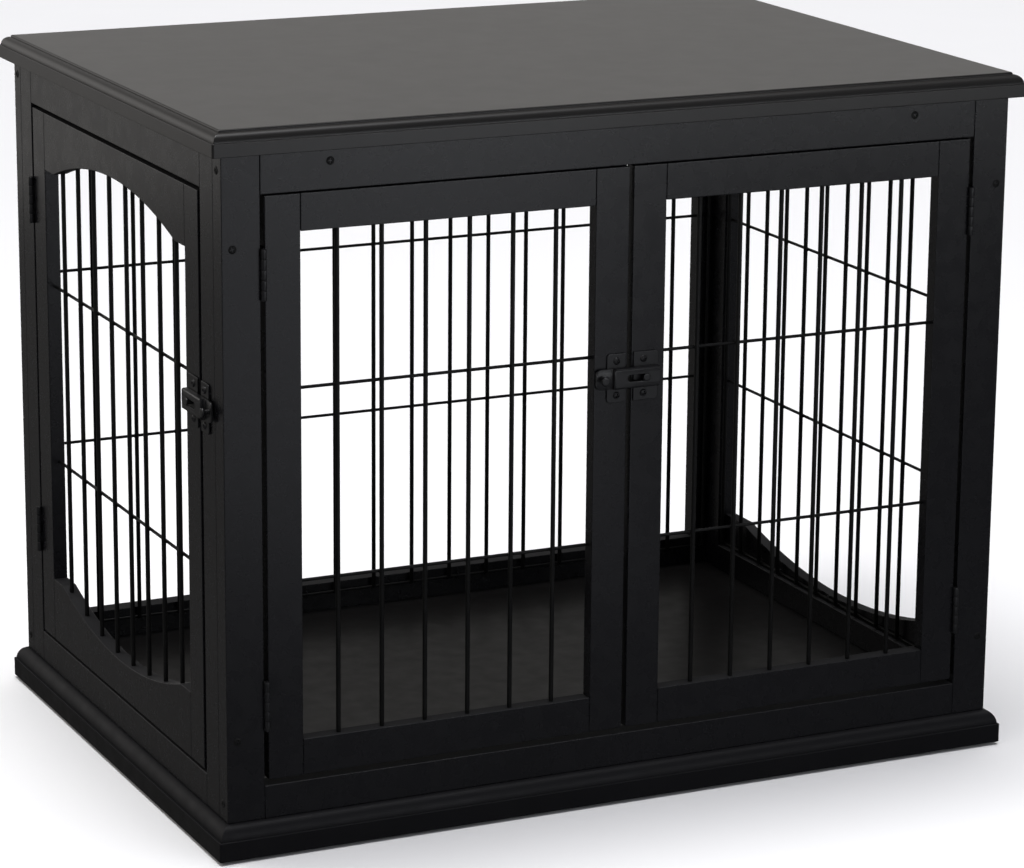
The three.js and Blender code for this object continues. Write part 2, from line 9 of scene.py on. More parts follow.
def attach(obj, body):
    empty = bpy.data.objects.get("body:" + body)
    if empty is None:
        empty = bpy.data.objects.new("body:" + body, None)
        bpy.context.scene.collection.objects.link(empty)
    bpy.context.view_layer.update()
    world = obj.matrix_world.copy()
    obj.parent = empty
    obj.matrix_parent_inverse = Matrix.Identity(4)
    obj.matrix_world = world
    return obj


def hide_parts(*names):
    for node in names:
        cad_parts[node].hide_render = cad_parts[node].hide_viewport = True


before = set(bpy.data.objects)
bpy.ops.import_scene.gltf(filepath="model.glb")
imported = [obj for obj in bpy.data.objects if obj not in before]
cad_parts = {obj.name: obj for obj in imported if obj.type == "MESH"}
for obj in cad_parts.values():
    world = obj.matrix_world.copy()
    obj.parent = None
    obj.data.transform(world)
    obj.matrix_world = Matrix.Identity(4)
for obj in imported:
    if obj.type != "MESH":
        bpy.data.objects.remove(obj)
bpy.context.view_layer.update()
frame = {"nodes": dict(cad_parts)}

print("frame loaded:", len(frame["nodes"]), "solids")

# the photograph's viewing angle
cameraView = {
    "place": (-1.5462, -3.3056, 1.2451),      # metres
    "azimuth": -25.291, "elevation": 14.750, "roll": 0.485,      # degrees
    "focalPixels": 3857.12, "imageWidth": 1024, "sensorWidth": 36,
}


def makeCamera(view):
    lens = bpy.data.cameras.new("camera")
    lens.sensor_width = view["sensorWidth"]
    lens.lens = view["focalPixels"] * view["sensorWidth"] / view["imageWidth"]
    lens.clip_start = 0.05
    lens.clip_end = 100
    camera = bpy.data.objects.new("camera", lens)
    bpy.context.scene.collection.objects.link(camera)
    aim = Euler((math.radians(90 - view["elevation"]), 0, math.radians(view["azimuth"]))).to_matrix()
    turn = aim @ Matrix.Rotation(math.radians(view["roll"]), 3, "Z")
    camera.matrix_world = Matrix.Translation(view["place"]) @ turn.to_4x4()
    bpy.context.scene.camera = camera


makeCamera(cameraView)
bpy.context.scene.view_settings.view_transform = "Standard"


def newMaterial(name):
    material = bpy.data.materials.new(name)
    material.use_nodes = True
    shader = material.node_tree.nodes["Principled BSDF"]
    return material, material.node_tree, shader


# A value's range, spread over low to high.
def ranged(tree, value, fromLow, fromHigh, low=0, high=1):
    change = tree.nodes.new("ShaderNodeMapRange")
    for part, limit in (("From Min", fromLow), ("From Max", fromHigh), ("To Min", low), ("To Max", high)):
        change.inputs[part].default_value = limit
    tree.links.new(value, change.inputs["Value"])
    return change.outputs["Result"]


# A soft noise of a given scale in 1/m, its middle part spread over low to high.
def noiseBetween(tree, scale, low, high, detail=3):
    place = tree.nodes.new("ShaderNodeTexCoord")
    noise = tree.nodes.new("ShaderNodeTexNoise")
    noise.inputs["Scale"].default_value = scale
    noise.inputs["Detail"].default_value = detail
    tree.links.new(place.outputs["Object"], noise.inputs["Vector"])
    return ranged(tree, noise.outputs["Fac"], 0.3, 0.7, low, high)


# Two close tones in soft clouds become the shader's colour.
def cloudyTones(tree, shader, dark, light, scale):
    tones = tree.nodes.new("ShaderNodeMix")
    tones.data_type = "RGBA"
    tones.inputs["A"].default_value = (*dark, 1)
    tones.inputs["B"].default_value = (*light, 1)
    tree.links.new(noiseBetween(tree, scale, 0, 1), tones.inputs["Factor"])
    tree.links.new(tones.outputs["Result"], shader.inputs["Base Color"])


# Board edges that face straight up or down keep a coarser coat than the sanded faces.
def rougherWhereLevel(tree, gloss, roughness):
    facing = tree.nodes.new("ShaderNodeNewGeometry")
    parts = tree.nodes.new("ShaderNodeSeparateXYZ")
    height = tree.nodes.new("ShaderNodeMath")
    height.operation = "ABSOLUTE"
    coat = tree.nodes.new("ShaderNodeMix")
    coat.inputs["B"].default_value = roughness
    tree.links.new(facing.outputs["Normal"], parts.inputs["Vector"])
    tree.links.new(parts.outputs["Z"], height.inputs[0])
    tree.links.new(ranged(tree, height.outputs["Value"], 0.93, 0.99), coat.inputs["Factor"])
    tree.links.new(gloss, coat.inputs["A"])
    return coat.outputs["Result"]


# Paint or coating: two cloudy tones, a roughness that wanders, and a fine skin as bump.
def coating(name, finish):
    material, tree, shader = newMaterial(name)
    shader.inputs["IOR"].default_value = finish["ior"]
    shader.inputs["Specular IOR Level"].default_value = finish["specular"]
    cloudyTones(tree, shader, finish["dark"], finish["light"], finish["cloudScale"])
    gloss = noiseBetween(tree, finish["glossScale"], *finish["roughness"])
    if "levelRoughness" in finish:
        gloss = rougherWhereLevel(tree, gloss, finish["levelRoughness"])
    tree.links.new(gloss, shader.inputs["Roughness"])
    skin = noiseBetween(tree, finish["skinScale"], 0, 1, detail=2)
    bump = tree.nodes.new("ShaderNodeBump")
    bump.inputs["Strength"].default_value = finish["skinStrength"]
    bump.inputs["Distance"].default_value = finish["skinHeight"]
    tree.links.new(skin, bump.inputs["Height"])
    tree.links.new(bump.outputs["Normal"], shader.inputs["Normal"])
    return material


finishes = {
    "satin_paint": coating("satinPaint", {
        "dark": (0.0034, 0.0033, 0.0042), "light": (0.0042, 0.0041, 0.0052), "ior": 1.45, "specular": 0.45,
        "cloudScale": 7, "glossScale": 60, "roughness": (0.24, 0.31), "levelRoughness": 0.85,
        "skinScale": 900, "skinStrength": 0.12, "skinHeight": 0.0002,
    }),
    # The top's paint is lighter and warmer than the frames' paint: painted sheen, standing in for the warm
    # grey that the top's gloss reflects.
    "top_paint": coating("topPaintPaintedSheen", {
        "dark": (0.0075, 0.0068, 0.0063), "light": (0.0085, 0.0077, 0.0071), "ior": 1.45, "specular": 0.45,
        "cloudScale": 5, "glossScale": 40, "roughness": (0.30, 0.315),
        "skinScale": 1100, "skinStrength": 0.08, "skinHeight": 0.0001,
    }),
    # The base's paint is a little darker than the frames' paint, as painted shade on the low base, and less
    # glossy so its moulding shows no highlight.
    "base_paint_painted_shade": coating("basePaintPaintedShade", {
        "dark": (0.003, 0.0029, 0.0037), "light": (0.0038, 0.0037, 0.0047), "ior": 1.45, "specular": 0.2,
        "cloudScale": 7, "glossScale": 60, "roughness": (0.40, 0.50), "levelRoughness": 0.85,
        "skinScale": 900, "skinStrength": 0.12, "skinHeight": 0.0002,
    }),
    "floor_film": coating("floorFilm", {
        "dark": (0.0055, 0.005, 0.005), "light": (0.0075, 0.0069, 0.0069), "ior": 1.45, "specular": 0.17,
        "cloudScale": 6, "glossScale": 50, "roughness": (0.36, 0.44),
        "skinScale": 700, "skinStrength": 0.15, "skinHeight": 0.0002,
    }),
    "coated_wire": coating("coatedWire", {
        "dark": (0.003, 0.003, 0.003), "light": (0.005, 0.005, 0.0048), "ior": 1.45, "specular": 0.2,
        "cloudScale": 30, "glossScale": 200, "roughness": (0.34, 0.48),
        "skinScale": 2600, "skinStrength": 0.3, "skinHeight": 0.0001,
    }),
    "black_steel": coating("blackSteel", {
        "dark": (0.0042, 0.0042, 0.0048), "light": (0.0068, 0.0068, 0.0077), "ior": 1.5, "specular": 0.4,
        "cloudScale": 60, "glossScale": 300, "roughness": (0.28, 0.40),
        "skinScale": 1800, "skinStrength": 0.15, "skinHeight": 0.0001,
    }),
    "foot_plastic": coating("footPlastic", {
        "dark": (0.008, 0.008, 0.008), "light": (0.014, 0.014, 0.014), "ior": 1.45, "specular": 0.3,
        "cloudScale": 80, "glossScale": 200, "roughness": (0.5, 0.65),
        "skinScale": 1500, "skinStrength": 0.4, "skinHeight": 0.0002,
    }),
}
print("finishes made")

# Everything from here to the floor and light is in millimetres.
tableHalfWidth, tableHalfDepth = 405, 292.5
bodyHalfWidth, bodyHalfDepth = 393, 280.5

# Each wall is drawn as seen from outside: across, depth behind its face, and height.
walls = {
    "front": lambda p: np.column_stack([p[:, 0], p[:, 1] - bodyHalfDepth, p[:, 2]]),
    "left": lambda p: np.column_stack([p[:, 1] - bodyHalfWidth, -p[:, 0], p[:, 2]]),
    "right": lambda p: np.column_stack([bodyHalfWidth - p[:, 1], p[:, 0], p[:, 2]]),
    "back": lambda p: np.column_stack([-p[:, 0], bodyHalfDepth - p[:, 1], p[:, 2]]),
    "table": lambda p: p,
}
quarter = math.pi / 2
edgeHold = 0.5      # a narrow strip beside every rounding keeps the flat faces flat in shading


# A grid of points becomes quads between neighbours along its rows and around its columns.
def gridSheet(points, closedAlong=False, closedAround=True):
    rows, columns = points.shape[:2]
    along = np.arange(rows if closedAlong else rows - 1)
    around = np.arange(columns if closedAround else columns - 1)
    row, column = np.meshgrid(along, around, indexing="ij")
    nextRow, nextColumn = (row + 1) % rows, (column + 1) % columns
    corners = (row * columns + column, nextRow * columns + column,
               nextRow * columns + nextColumn, row * columns + nextColumn)
    return points.reshape(-1, 3), np.stack(corners, axis=-1).reshape(-1, 4)


# Joins sheets into one mesh, merges their seams and poles, and turns every face outwards.
def makePiece(name, sheets, wall, body, slot, replaced=(), sharpAngle=38, finish=None):
    counts = [len(points) for points, quads in sheets]
    starts = np.concatenate([[0], np.cumsum(counts)[:-1]])
    points = np.concatenate([points for points, quads in sheets])
    quads = np.concatenate([sheet[1] + start for sheet, start in zip(sheets, starts)])
    mesh = bpy.data.meshes.new(name)
    mesh.from_pydata(walls[wall](points) / 1000, [], quads)
    shell = bmesh.new()
    shell.from_mesh(mesh)
    bmesh.ops.remove_doubles(shell, verts=shell.verts, dist=2e-6)
    bmesh.ops.recalc_face_normals(shell, faces=shell.faces)
    shell.to_mesh(mesh)
    shell.free()
    mesh.shade_smooth()
    mesh.set_sharp_from_angle(angle=math.radians(sharpAngle))
    mesh.materials.append(finishes[finish or slot])
    piece = bpy.data.objects.new(name, mesh)
    bpy.context.scene.collection.objects.link(piece)
    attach(piece, body)
    if replaced:
        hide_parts(*replaced)


# A board is a section with square corners, each rounded by a quarter circle, carried from start to
# end. Over the last millimetre the section draws in along a quarter circle, so the ends are eased too.
# corners(along) gives the section's corners at each place, and hub a point inside it for the end faces.
def boardSheet(start, end, corners, rounding, steps=4, between=(), hub=None, upright=False):
    turn = np.linspace(0, quarter, steps + 1)
    inset = np.concatenate([[rounding + edgeHold] * 2, rounding * (1 - np.cos(turn[::-1])), [0]])
    place = np.concatenate([[0, 0], rounding * (1 - np.sin(turn[::-1])), [rounding + edgeHold]])
    along = np.concatenate([start + place, between, end - place[::-1]])
    inset = np.concatenate([inset, np.zeros(len(between)), inset[::-1]])[:, None, None]
    section = corners(along)
    before = np.roll(section, 1, axis=1) - section
    after = np.roll(section, -1, axis=1) - section
    before /= np.linalg.norm(before, axis=2, keepdims=True)
    after /= np.linalg.norm(after, axis=2, keepdims=True)
    bend = after[..., 0] * before[..., 1] - after[..., 1] * before[..., 0]
    outward = np.where(bend * np.sign(bend.sum(axis=1, keepdims=True)) > 0, 1.0, -1.0)[..., None]
    pulled = section + outward * inset * (before + after)
    size = np.maximum(rounding - outward * inset, 0)
    ring = [pulled + (size + edgeHold) * before]
    ring += [pulled + size * (before * (1 - math.sin(a)) + after * (1 - math.cos(a))) for a in turn]
    ring += [pulled + (size + edgeHold) * after]
    section = np.stack(ring, axis=2).reshape(len(along), -1, 2)
    for row in (0, -1):
        section[row] = hub if hub is not None else corners(along)[row].mean(axis=0)
    run = np.broadcast_to(along[:, None], section.shape[:2])
    if upright:
        return gridSheet(np.stack([section[..., 0], section[..., 1], run], axis=-1))
    return gridSheet(np.stack([run, section[..., 1], section[..., 0]], axis=-1))


# The four corners of a plain section: first edge to second edge, by outer to inner depth.
def plainSection(lowEdge, highEdge, outer, inner):
    def corners(along):
        low = lowEdge(along) if callable(lowEdge) else np.full(len(along), lowEdge)
        high = highEdge(along) if callable(highEdge) else np.full(len(along), highEdge)
        near, far = np.full(len(along), outer), np.full(len(along), inner)
        return np.stack([np.stack(pair, axis=1) for pair in
                         ((low, near), (high, near), (high, far), (low, far))], axis=1).astype(float)
    return corners


# A round rod between two points; its ends are half rounds that close in a pole.
def rodSheet(start, end, diameter, sides=14, endSteps=3):
    start, end = np.array(start, float), np.array(end, float)
    axis = (end - start) / np.linalg.norm(end - start)
    side = np.cross(axis, (0.3, 0.5, 0.81))
    side /= np.linalg.norm(side)
    other = np.cross(axis, side)
    radius = diameter / 2
    turn = np.linspace(quarter, 0, endSteps + 1)
    back, size = radius * (1 - np.sin(turn)), radius * np.cos(turn)
    middle = np.concatenate([start + back[:, None] * axis, end - back[::-1, None] * axis])
    size = np.concatenate([size, size[::-1]])
    angle = np.linspace(0, 2 * math.pi, sides, endpoint=False)
    around = np.cos(angle)[:, None] * side + np.sin(angle)[:, None] * other
    return gridSheet(middle[:, None, :] + size[:, None, None] * around)


# A round wire carried along a bent path that lies in a plane with the given normal.
def bentWireSheet(path, normal, diameter, sides=8):
    path, normal = np.array(path, float), np.array(normal, float)
    run = np.gradient(path, axis=0)
    run /= np.linalg.norm(run, axis=1, keepdims=True)
    side = np.cross(run, normal)
    angle = np.linspace(0, 2 * math.pi, sides, endpoint=False)
    ring = np.cos(angle)[None, :, None] * side[:, None, :] + np.sin(angle)[None, :, None] * normal
    tube = path[:, None, :] + diameter / 2 * ring
    ends = [np.repeat(path[:1], sides, axis=0)[None], tube, np.repeat(path[-1:], sides, axis=0)[None]]
    return gridSheet(np.concatenate(ends))


# A profile of (radius, distance out) turned about an axis that stands out of the wall's face.
def studSheet(across, height, profile, sides=28):
    profile = np.array(profile, float)
    angle = np.linspace(0, 2 * math.pi, sides, endpoint=False)
    x = across + profile[:, :1] * np.cos(angle)
    z = height + profile[:, :1] * np.sin(angle)
    out = np.broadcast_to(-profile[:, 1:], x.shape)
    return gridSheet(np.stack([x, out, z], axis=-1))


# Points on part of an ellipse, from one angle to another in degrees.
def arcPoints(centre, radii, fromDegrees, toDegrees, count):
    angle = np.radians(np.linspace(fromDegrees, toDegrees, count))
    return np.column_stack([centre[0] + radii[0] * np.cos(angle), centre[1] + radii[1] * np.sin(angle)])


glide = {
    "radius": 9.5, "height": 2.7, "fromEdge": 22, "bottomRounding": 0.9, "topEase": 0.3,
    "dish": 0.25, "dishRadius": 3.2, "dishRim": 3.6, "sides": 36,
}


# A profile of (radius, height) with a dished middle and a round lower edge, turned about the upright.
def makeGlide(name, x, y, size):
    r, h, soft, ease = size["radius"], size["height"], size["bottomRounding"], size["topEase"]
    profile = np.concatenate([
        [[0, size["dish"]], [size["dishRadius"], size["dish"]], [size["dishRim"], 0]],
        arcPoints((r - soft, soft), (soft, soft), 270, 360, 5),
        [[r, h - ease], [r - ease, h], [0, h]],
    ])
    angle = np.linspace(0, 2 * math.pi, size["sides"], endpoint=False)
    points = np.stack([
        x + profile[:, :1] * np.cos(angle), y + profile[:, :1] * np.sin(angle),
        np.broadcast_to(profile[:, 1:], (len(profile), size["sides"])),
    ], axis=-1)
    makePiece(name + "_turned", [gridSheet(points)], "table", "root", "foot_plastic", (name,))


for end, y in (("front", -1), ("back", 1)):
    for hand, x in (("left", -1), ("right", 1)):
        reachX, reachY = tableHalfWidth - glide["fromEdge"], tableHalfDepth - glide["fromEdge"]
        makeGlide(f"foot_{end}_{hand}", x * reachX, y * reachY, glide)
print("glides made")

mouldings = {
    "halfWidth": tableHalfWidth, "halfDepth": tableHalfDepth, "corner": 1.6, "mitre": 0.35, "arris": 0.45,
    "underInset": 30, "overInset": 40,
}
baseBoard = {
    "bottom": 3.0, "faceTop": 21, "ledge": 1.9, "roundTop": 34, "roundDepth": 9.9, "fullness": 0.85,
    "flatFrom": 13,
}
topBoard = {
    "bottom": 637.5, "faceTop": 649.8, "ledge": 1.9, "roundTop": 658, "roundDepth": 7.9, "fullness": 1,
    "stepFoot": 0.4, "stepArris": 1.5, "top": 660,
}


# An edge profile of (inset, height) carried round a rectangle: outside its corners turn on a small
# radius, and where the profile has drawn in past that radius they meet in a mitre.
def mouldedSheet(profile, size, steps=4):
    inset = profile[:, 0]
    radius = np.maximum(size["corner"] - inset, size["mitre"])
    reachX, reachY = size["halfWidth"] - inset - radius, size["halfDepth"] - inset - radius
    columns = []
    for corner, (signX, signY) in enumerate(((1, 1), (-1, 1), (-1, -1), (1, -1))):
        turn = corner * quarter + np.linspace(0, quarter, steps + 1)
        turns = np.concatenate([turn[:1], turn, turn[-1:]])
        hold = np.concatenate([[-edgeHold], np.zeros(steps + 1), [edgeHold]])
        x = (signX * reachX)[:, None] + radius[:, None] * np.cos(turns) - hold * np.sin(turns)
        y = (signY * reachY)[:, None] + radius[:, None] * np.sin(turns) + hold * np.cos(turns)
        columns.append(np.stack([x, y, np.broadcast_to(profile[:, 1:], x.shape)], axis=-1))
    points = np.concatenate(columns, axis=1)
    for row in (0, -1):
        points[row, :, :2] = 0
    return gridSheet(points)


# Above the ledge the edge rises between a straight bevel and a quarter ellipse, by its fullness.
def ovoloEdge(board):
    arris, inside, full = mouldings["arris"], mouldings["underInset"], board["fullness"]
    ledge, swell, roundTop = board["ledge"], board["roundDepth"], board["roundTop"]
    faceTop, bottom = board["faceTop"], board["bottom"]
    part = np.linspace(0, 1, 18)
    swing = full * (1 - np.cos(quarter * part)) + (1 - full) * part
    climb = full * np.sin(quarter * part) + (1 - full) * part
    return np.concatenate([
        [[inside, bottom], [inside, bottom], [arris + edgeHold, bottom]],
        arcPoints((arris, bottom + arris), (arris, arris), 270, 180, 5),
        [[0, bottom + arris + edgeHold], [0, faceTop - arris - edgeHold]],
        arcPoints((arris, faceTop - arris), (arris, arris), 180, 90, 5), [[ledge, faceTop]],
        np.column_stack([ledge + swell * swing, faceTop + (roundTop - faceTop) * climb]),
    ])


baseProfile = np.concatenate([
    ovoloEdge(baseBoard),
    [[baseBoard["flatFrom"], baseBoard["roundTop"]], [mouldings["overInset"], baseBoard["roundTop"]]],
])
# The plinth is drawn in the darker base paint, which carries painted shade.
makePiece("base_plinth_board", [mouldedSheet(baseProfile, mouldings)], "table", "root", "satin_paint",
          ("base_plinth",), finish="base_paint_painted_shade")

stepInset, stepArris = topBoard["ledge"] + topBoard["roundDepth"], topBoard["stepArris"]
topProfile = np.concatenate([
    ovoloEdge(topBoard),
    [[stepInset, topBoard["roundTop"] + topBoard["stepFoot"]]],
    arcPoints((stepInset + stepArris, topBoard["top"] - stepArris), (stepArris, stepArris), 180, 90, 6),
    [[stepInset + stepArris + edgeHold, topBoard["top"]], [mouldings["overInset"], topBoard["top"]]],
])
# The top is drawn in the lighter top paint, which carries painted sheen.
makePiece("table_top_board", [mouldedSheet(topProfile, mouldings)], "table", "root", "top_paint",
          ("table_top",))

floorBoard = {
    "halfWidth": 372.7, "front": -260.2, "back": 262.2, "bottom": 34.3, "top": 38.8, "rounding": 0.4,
}
floorSheet = boardSheet(
    -floorBoard["halfWidth"], floorBoard["halfWidth"],
    plainSection(floorBoard["bottom"], floorBoard["top"], floorBoard["front"], floorBoard["back"]),
    floorBoard["rounding"],
)
makePiece("floor_panel_board", [floorSheet], "table", "root", "floor_film", ("floor_panel",))
print("top, base and floor made")

boards = {
    "fit": 0.3, "joint": 0.4, "rounding": 0.5, "frameBottom": 34.3, "frameTop": 637.2, "openTop": 601,
    "archSteps": 56,
}
arches = {
    "side_door": {"land": 26, "rise": 27},
    "right_side": {"land": 40, "rise": 27, "landHeight": 34, "thickness": 12},
}


# How far an arch stands back from its lands: one circular arc through both land ends.
def archSwell(left, right, arch):
    centre = (left + right) / 2
    half = (right - left) / 2 - arch["land"]
    radius = (half ** 2 + arch["rise"] ** 2) / (2 * arch["rise"])

    def swell(across):
        away = np.minimum(np.abs(across - centre), half)
        return np.sqrt(radius ** 2 - away ** 2) - (radius - arch["rise"])
    ends = [centre - half, centre + half]
    soft = [end + step for end in ends for step in (-0.4, 0.4)]
    places = np.sort(np.concatenate([np.linspace(ends[0] + 3, ends[1] - 3, boards["archSteps"]), soft]))
    return swell, places


def makeBoard(node, sheet, wall, body):
    makePiece(node + "_board", [sheet], wall, body, "satin_paint", (node,))


def makeStile(node, wall, body, left, right, bottom, top, thickness):
    section = plainSection(left, right, 0, thickness)
    makeBoard(node, boardSheet(bottom, top, section, boards["rounding"], upright=True), wall, body)


def makeRail(node, wall, body, left, right, low, high, thickness, between=()):
    section = plainSection(low, high, 0, thickness)
    makeBoard(node, boardSheet(left, right, section, boards["rounding"], between=between), wall, body)


frames = {
    # edges, stile width, thickness and top edge of the bottom rail, as seen from outside
    "front": {"edges": (-393, 393), "stile": 35.5, "thickness": 20, "lowerEdge": 65,
              "stiles": ("front_frame_left_stile", "front_frame_right_stile"),
              "rails": ("front_frame_top_rail", "front_frame_bottom_rail")},
    "back": {"edges": (-393, 393), "stile": 35, "thickness": 18, "lowerEdge": 68,
             "stiles": ("back_frame_right_stile", "back_frame_left_stile"),
             "rails": ("back_frame_top_rail", "back_frame_bottom_rail")},
    "left": {"edges": (-262.2, 260.2), "stile": 31, "thickness": 20, "lowerEdge": 65,
             "stiles": ("left_side_back_stile", "left_side_front_stile"),
             "rails": ("left_side_top_rail", "left_side_bottom_rail")},
    "right": {"edges": (-260.2, 262.2), "stile": 31, "thickness": 20, "lowerEdge": 65,
              "stiles": ("right_side_front_stile", "right_side_back_stile"),
              "rails": ("right_side_arched_top_rail", "right_side_arched_bottom_rail")},
}


def makeFrameStiles(wall, frame):
    left, right = frame["edges"]
    upright = (boards["frameBottom"], boards["frameTop"], frame["thickness"])
    makeStile(frame["stiles"][0], wall, "root", left, left + frame["stile"], *upright)
    makeStile(frame["stiles"][1], wall, "root", right - frame["stile"], right, *upright)


def makeFrameRails(wall, frame):
    reach = frame["stile"] + boards["joint"]
    ends = (frame["edges"][0] + reach, frame["edges"][1] - reach)
    heights = ((boards["openTop"], boards["frameTop"]), (boards["frameBottom"], frame["lowerEdge"]))
    for node, (low, high) in zip(frame["rails"], heights):
        makeRail(node, wall, "root", *ends, low, high, frame["thickness"])


for wall, frame in frames.items():
    makeFrameStiles(wall, frame)
    if wall != "right":
        makeFrameRails(wall, frame)


# The closed side: each rail's outer face runs on as a thinner arched board above the rail's ledge.
def makeArchedRail(node, frame, straight, ledge, up, arch):
    reach = frame["stile"] + boards["fit"]
    left, right = frame["edges"][0] + reach, frame["edges"][1] - reach
    swell, places = archSwell(left - boards["fit"], right + boards["fit"], arch)

    def corners(along):
        edge = ledge + up * (arch["landHeight"] - swell(along))
        thin, thick = arch["thickness"], frame["thickness"]
        rows = [(straight, 0), (edge, 0), (edge, thin), (ledge, thin), (ledge, thick), (straight, thick)]
        return np.stack([np.column_stack([np.broadcast_to(height, len(along)), np.full(len(along), depth)])
                         for height, depth in rows], axis=1).astype(float)
    hub = ((straight + ledge) / 2, arch["thickness"] / 2)
    sheet = boardSheet(left, right, corners, boards["rounding"], between=places, hub=hub)
    makeBoard(node, sheet, "right", "root")


rightFrame, rightArch = frames["right"], arches["right_side"]
topRail, bottomRail = rightFrame["rails"]
makeArchedRail(topRail, rightFrame, boards["frameTop"], boards["openTop"], -1, rightArch)
makeArchedRail(bottomRail, rightFrame, boards["frameBottom"], rightFrame["lowerEdge"], 1, rightArch)
print("frames made")

doorSizes = {"thickness": 14, "height": 529.2, "stile": 33}
frontDoor = {
    "wall": "front", "bottom": 70.5, "bottomRail": 33.5, "topRail": 33.5, "arch": None,
    "wires": 6, "pitch": 42.3,
}
doors = {
    # edges as seen from outside, and how far the boards go past them into the middle gap
    "left_door": {**frontDoor, "edges": (-353.2, -2.75), "past": (0, 0.55)},
    "right_door": {**frontDoor, "edges": (2.75, 353.2), "past": (0.55, 0)},
    "side_door": {
        "wall": "left", "bottom": 68, "bottomRail": 62, "topRail": 56, "arch": arches["side_door"],
        "wires": 8, "pitch": 44.3, "edges": (-226.9, 223.2), "past": (0, 0),
    },
}


def makeDoorBoards(name, door):
    wall, bottom, thickness = door["wall"], door["bottom"], doorSizes["thickness"]
    left, right = door["edges"][0] - door["past"][0], door["edges"][1] + door["past"][1]
    top = bottom + doorSizes["height"]
    openLeft, openRight = left + doorSizes["stile"], right - doorSizes["stile"]
    lowLand, highLand = bottom + door["bottomRail"], top - door["topRail"]
    makeStile(name + "_left_stile", wall, name, left, openLeft, bottom, top, thickness)
    makeStile(name + "_right_stile", wall, name, openRight, right, bottom, top, thickness)
    lowEdge, highEdge, places = lowLand, highLand, ()
    if door["arch"]:
        swell, places = archSwell(openLeft, openRight, door["arch"])
        lowEdge, highEdge = (lambda x: lowLand - swell(x)), (lambda x: highLand + swell(x))
    ends = (openLeft + boards["joint"], openRight - boards["joint"])
    makeRail(name + "_bottom_rail", wall, name, *ends, bottom, lowEdge, thickness, places)
    makeRail(name + "_top_rail", wall, name, *ends, highEdge, top, thickness, places)


for name, door in doors.items():
    makeDoorBoards(name, door)
print("doors made")

wires = {
    "upright": 4.3, "cross": 3, "weld": 0.3, "sunk": 8, "crossHeights": (249, 425), "doorDepth": 6,
    "uprightPast": 1, "crossPast": 2, "beadSunk": 0.35,
}
fixedGrilles = {
    "right_side_grille": {"wall": "right", "centre": 1, "wires": 12, "pitch": 41, "depth": 12,
                          "ends": (68, 598)},
    "back_grille": {"wall": "back", "centre": 0, "wires": 18, "pitch": 43.3, "depth": 18, "ends": (58, 611)},
}


# Uprights and cross wires with a small flattened bead where each pair is welded.
def grilleSheets(uprights, crosses, uprightDepth, crossDepth):
    sheets = []
    for x, low, high in uprights:
        sheets.append(rodSheet((x, uprightDepth, low), (x, uprightDepth, high), wires["upright"]))
    for z, left, right in crosses:
        sheets.append(rodSheet((left, crossDepth, z), (right, crossDepth, z), wires["cross"]))
    meeting = uprightDepth + np.sign(crossDepth - uprightDepth) * (wires["upright"] / 2 - wires["beadSunk"])
    for x, low, high in uprights:
        for z, left, right in crosses:
            sheets.append(beadSheet((x, meeting, z)))
    return sheets


# A weld bead: a ball drawn out along both wires and flattened in depth.
def beadSheet(centre, reach=(2.5, 1.1, 2.1), rows=5, columns=10):
    tilt = np.linspace(-quarter, quarter, rows)[:, None]
    angle = np.linspace(0, 2 * math.pi, columns, endpoint=False)[None, :]
    x = centre[0] + reach[0] * np.cos(tilt) * np.cos(angle)
    z = centre[2] + reach[2] * np.cos(tilt) * np.sin(angle)
    depth = centre[1] + reach[1] * np.sin(tilt) * np.ones_like(angle)
    return gridSheet(np.stack([x, depth, z], axis=-1))


def spread(centre, grille):
    count = grille["wires"]
    return centre + (np.arange(count) - (count - 1) / 2) * grille["pitch"]


def makeDoorGrille(name, door):
    openLeft, openRight = door["edges"][0] + doorSizes["stile"], door["edges"][1] - doorSizes["stile"]
    low = door["bottom"] + door["bottomRail"]
    high = door["bottom"] + doorSizes["height"] - door["topRail"]
    across = spread((openLeft + openRight) / 2, door)
    swell = archSwell(openLeft, openRight, door["arch"])[0](across) if door["arch"] else np.zeros(len(across))
    sunk = wires["sunk"]
    uprights = np.column_stack([across, low - swell - sunk, high + swell + sunk])
    crosses = [(z, openLeft - sunk, openRight + sunk) for z in wires["crossHeights"]]
    crossDepth = wires["doorDepth"] + (wires["upright"] + wires["cross"]) / 2 - wires["weld"]
    sheets = grilleSheets(uprights, crosses, wires["doorDepth"], crossDepth)
    makePiece(name + "_grille_wires", sheets, door["wall"], name, "coated_wire", (name + "_grille",))


def makeFixedGrille(node, grille):
    low, high = grille["ends"]
    across = spread(grille["centre"], grille)
    crossDepth = grille["depth"] + boards["fit"] + wires["cross"] / 2
    uprightDepth = crossDepth + (wires["upright"] + wires["cross"]) / 2 - wires["weld"]
    beyond = np.full(len(across), wires["uprightPast"])
    uprights = np.column_stack([across, low - beyond, high + beyond])
    left, right = across[0] - wires["crossPast"], across[-1] + wires["crossPast"]
    crosses = [(z, left, right) for z in (low, *wires["crossHeights"], high)]
    sheets = grilleSheets(uprights, crosses, uprightDepth, crossDepth)
    makePiece(node + "_wires", sheets, grille["wall"], "root", "coated_wire", (node,))
    return crossDepth


for name, door in doors.items():
    makeDoorGrille(name, door)
crossDepths = {node: makeFixedGrille(node, grille) for node, grille in fixedGrilles.items()}

staples = {
    "width": 7, "leg": 3, "wire": 1.1,
    "back_grille": {"piece": "back_grille_staples", "shift": 10,
                    "across": (-367, -260, -86.6, 86.6, 260, 367), "beside": (-367, 367)},
    "right_side_grille": {"piece": "right_grille_staples", "shift": 0,
                          "across": (-204, -102, 0, 102, 206), "beside": ()},
}


